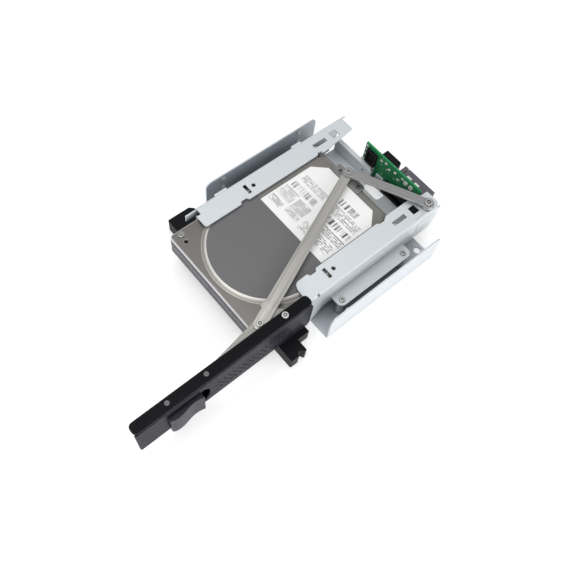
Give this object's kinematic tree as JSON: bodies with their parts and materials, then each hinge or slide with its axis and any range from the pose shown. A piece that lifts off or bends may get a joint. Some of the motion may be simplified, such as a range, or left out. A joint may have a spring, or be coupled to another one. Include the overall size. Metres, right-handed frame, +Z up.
{
  "type": "drive carrier",
  "caption": "Server drive carrier: folded sheet cradle on a tray, 3.5 inch drive, swing handle and bar linkage that pushes the drive home.",
  "frame": {"origin": "centre of the underside of the base tray", "axes": "+Z up, +Y from the front (handle) to the rear board, +X to the side the handle pivots on"},
  "size_m": [0.1534, 0.2957, 0.0507],
  "materials": {
    "carrier_sheet": "satin",
    "plated_steel": "satin",
    "bar_steel": "satin",
    "black_steel": "satin",
    "black_plastic": "matt",
    "grey_plastic": "matt",
    "board_green": "gloss",
    "solder": "satin",
    "white_label": "matt",
    "drive_casting": "satin",
    "drive_cover": "satin"
  },
  "bodies": {
    "carrier": {"cradle_frame": "carrier_sheet", "flange_pad": "black_plastic", "base_tray": "carrier_sheet", "tray_standoffs": "plated_steel", "flap_screws": "plated_steel", "wing_rivets": "plated_steel", "guide_block_left": "black_plastic", "guide_block_right": "black_plastic", "block_screws": "plated_steel", "guide_rail_left": "black_plastic", "guide_rail_right": "black_plastic", "rear_board": "board_green", "board_screws": "plated_steel", "board_socket": "black_plastic", "board_parts": "solder", "drive_receptacle": "black_plastic", "rear_connector_black": "black_plastic", "rear_connector_grey": "grey_plastic", "connector_tabs": "white_label", "rocker_post": "plated_steel", "rocker_screw": "plated_steel", "handle_pivot_screw": "plated_steel"},
    "handle": {"handle_plate": "black_steel", "handle_bezel": "black_plastic", "lever_plate": "bar_steel", "handle_spacers": "plated_steel", "handle_rivets": "plated_steel"},
    "latch": {"latch_button": "black_plastic"},
    "rocker": {"rocker_arm": "bar_steel", "joint_pin": "plated_steel"},
    "link": {"link_bar": "bar_steel", "link_screw": "plated_steel"},
    "drive": {"drive_base": "drive_casting", "drive_cover": "drive_cover", "cover_screws": "plated_steel", "drive_label": "white_label", "drive_circuit_board": "board_green", "drive_plug": "black_plastic", "tow_bracket": "bar_steel", "tow_screw": "black_steel"}
  },
  "joints": [
    {"name": "handle_pivot", "type": "hinge", "parent": "carrier", "child": "handle", "pos_m": [0.056, -0.0893, 0.0432], "axis": [0, 0, 1], "range_deg": [-90, 0]},
    {"name": "latch_slide", "type": "slide", "parent": "handle", "child": "latch", "axis": [0, 1, 0], "range_m": [0, 0.004], "stiffness_N_per_m": 600, "springref_m": -0.001},
    {"name": "rocker_pivot", "type": "hinge", "parent": "carrier", "child": "rocker", "pos_m": [0.0514, 0.0619, 0.0462], "axis": [0, 0, 1], "range_deg": [-21.9, 0]},
    {"name": "link_pivot", "type": "hinge", "parent": "rocker", "child": "link", "pos_m": [-0.0087, 0.0316, 0.0452], "axis": [0, 0, 1], "range_deg": [0, 20.9]},
    {"name": "drive_slide", "type": "slide", "parent": "carrier", "child": "drive", "axis": [0, 1, 0], "range_m": [0, 0.0246]}
  ],
  "couplings": [
    {"joint": "rocker_pivot", "follows": "handle_pivot", "ratio": 0.24327},
    {"joint": "link_pivot", "follows": "handle_pivot", "ratio": -0.23202},
    {"joint": "drive_slide", "follows": "handle_pivot", "m_per_rad": -0.015658}
  ]
}
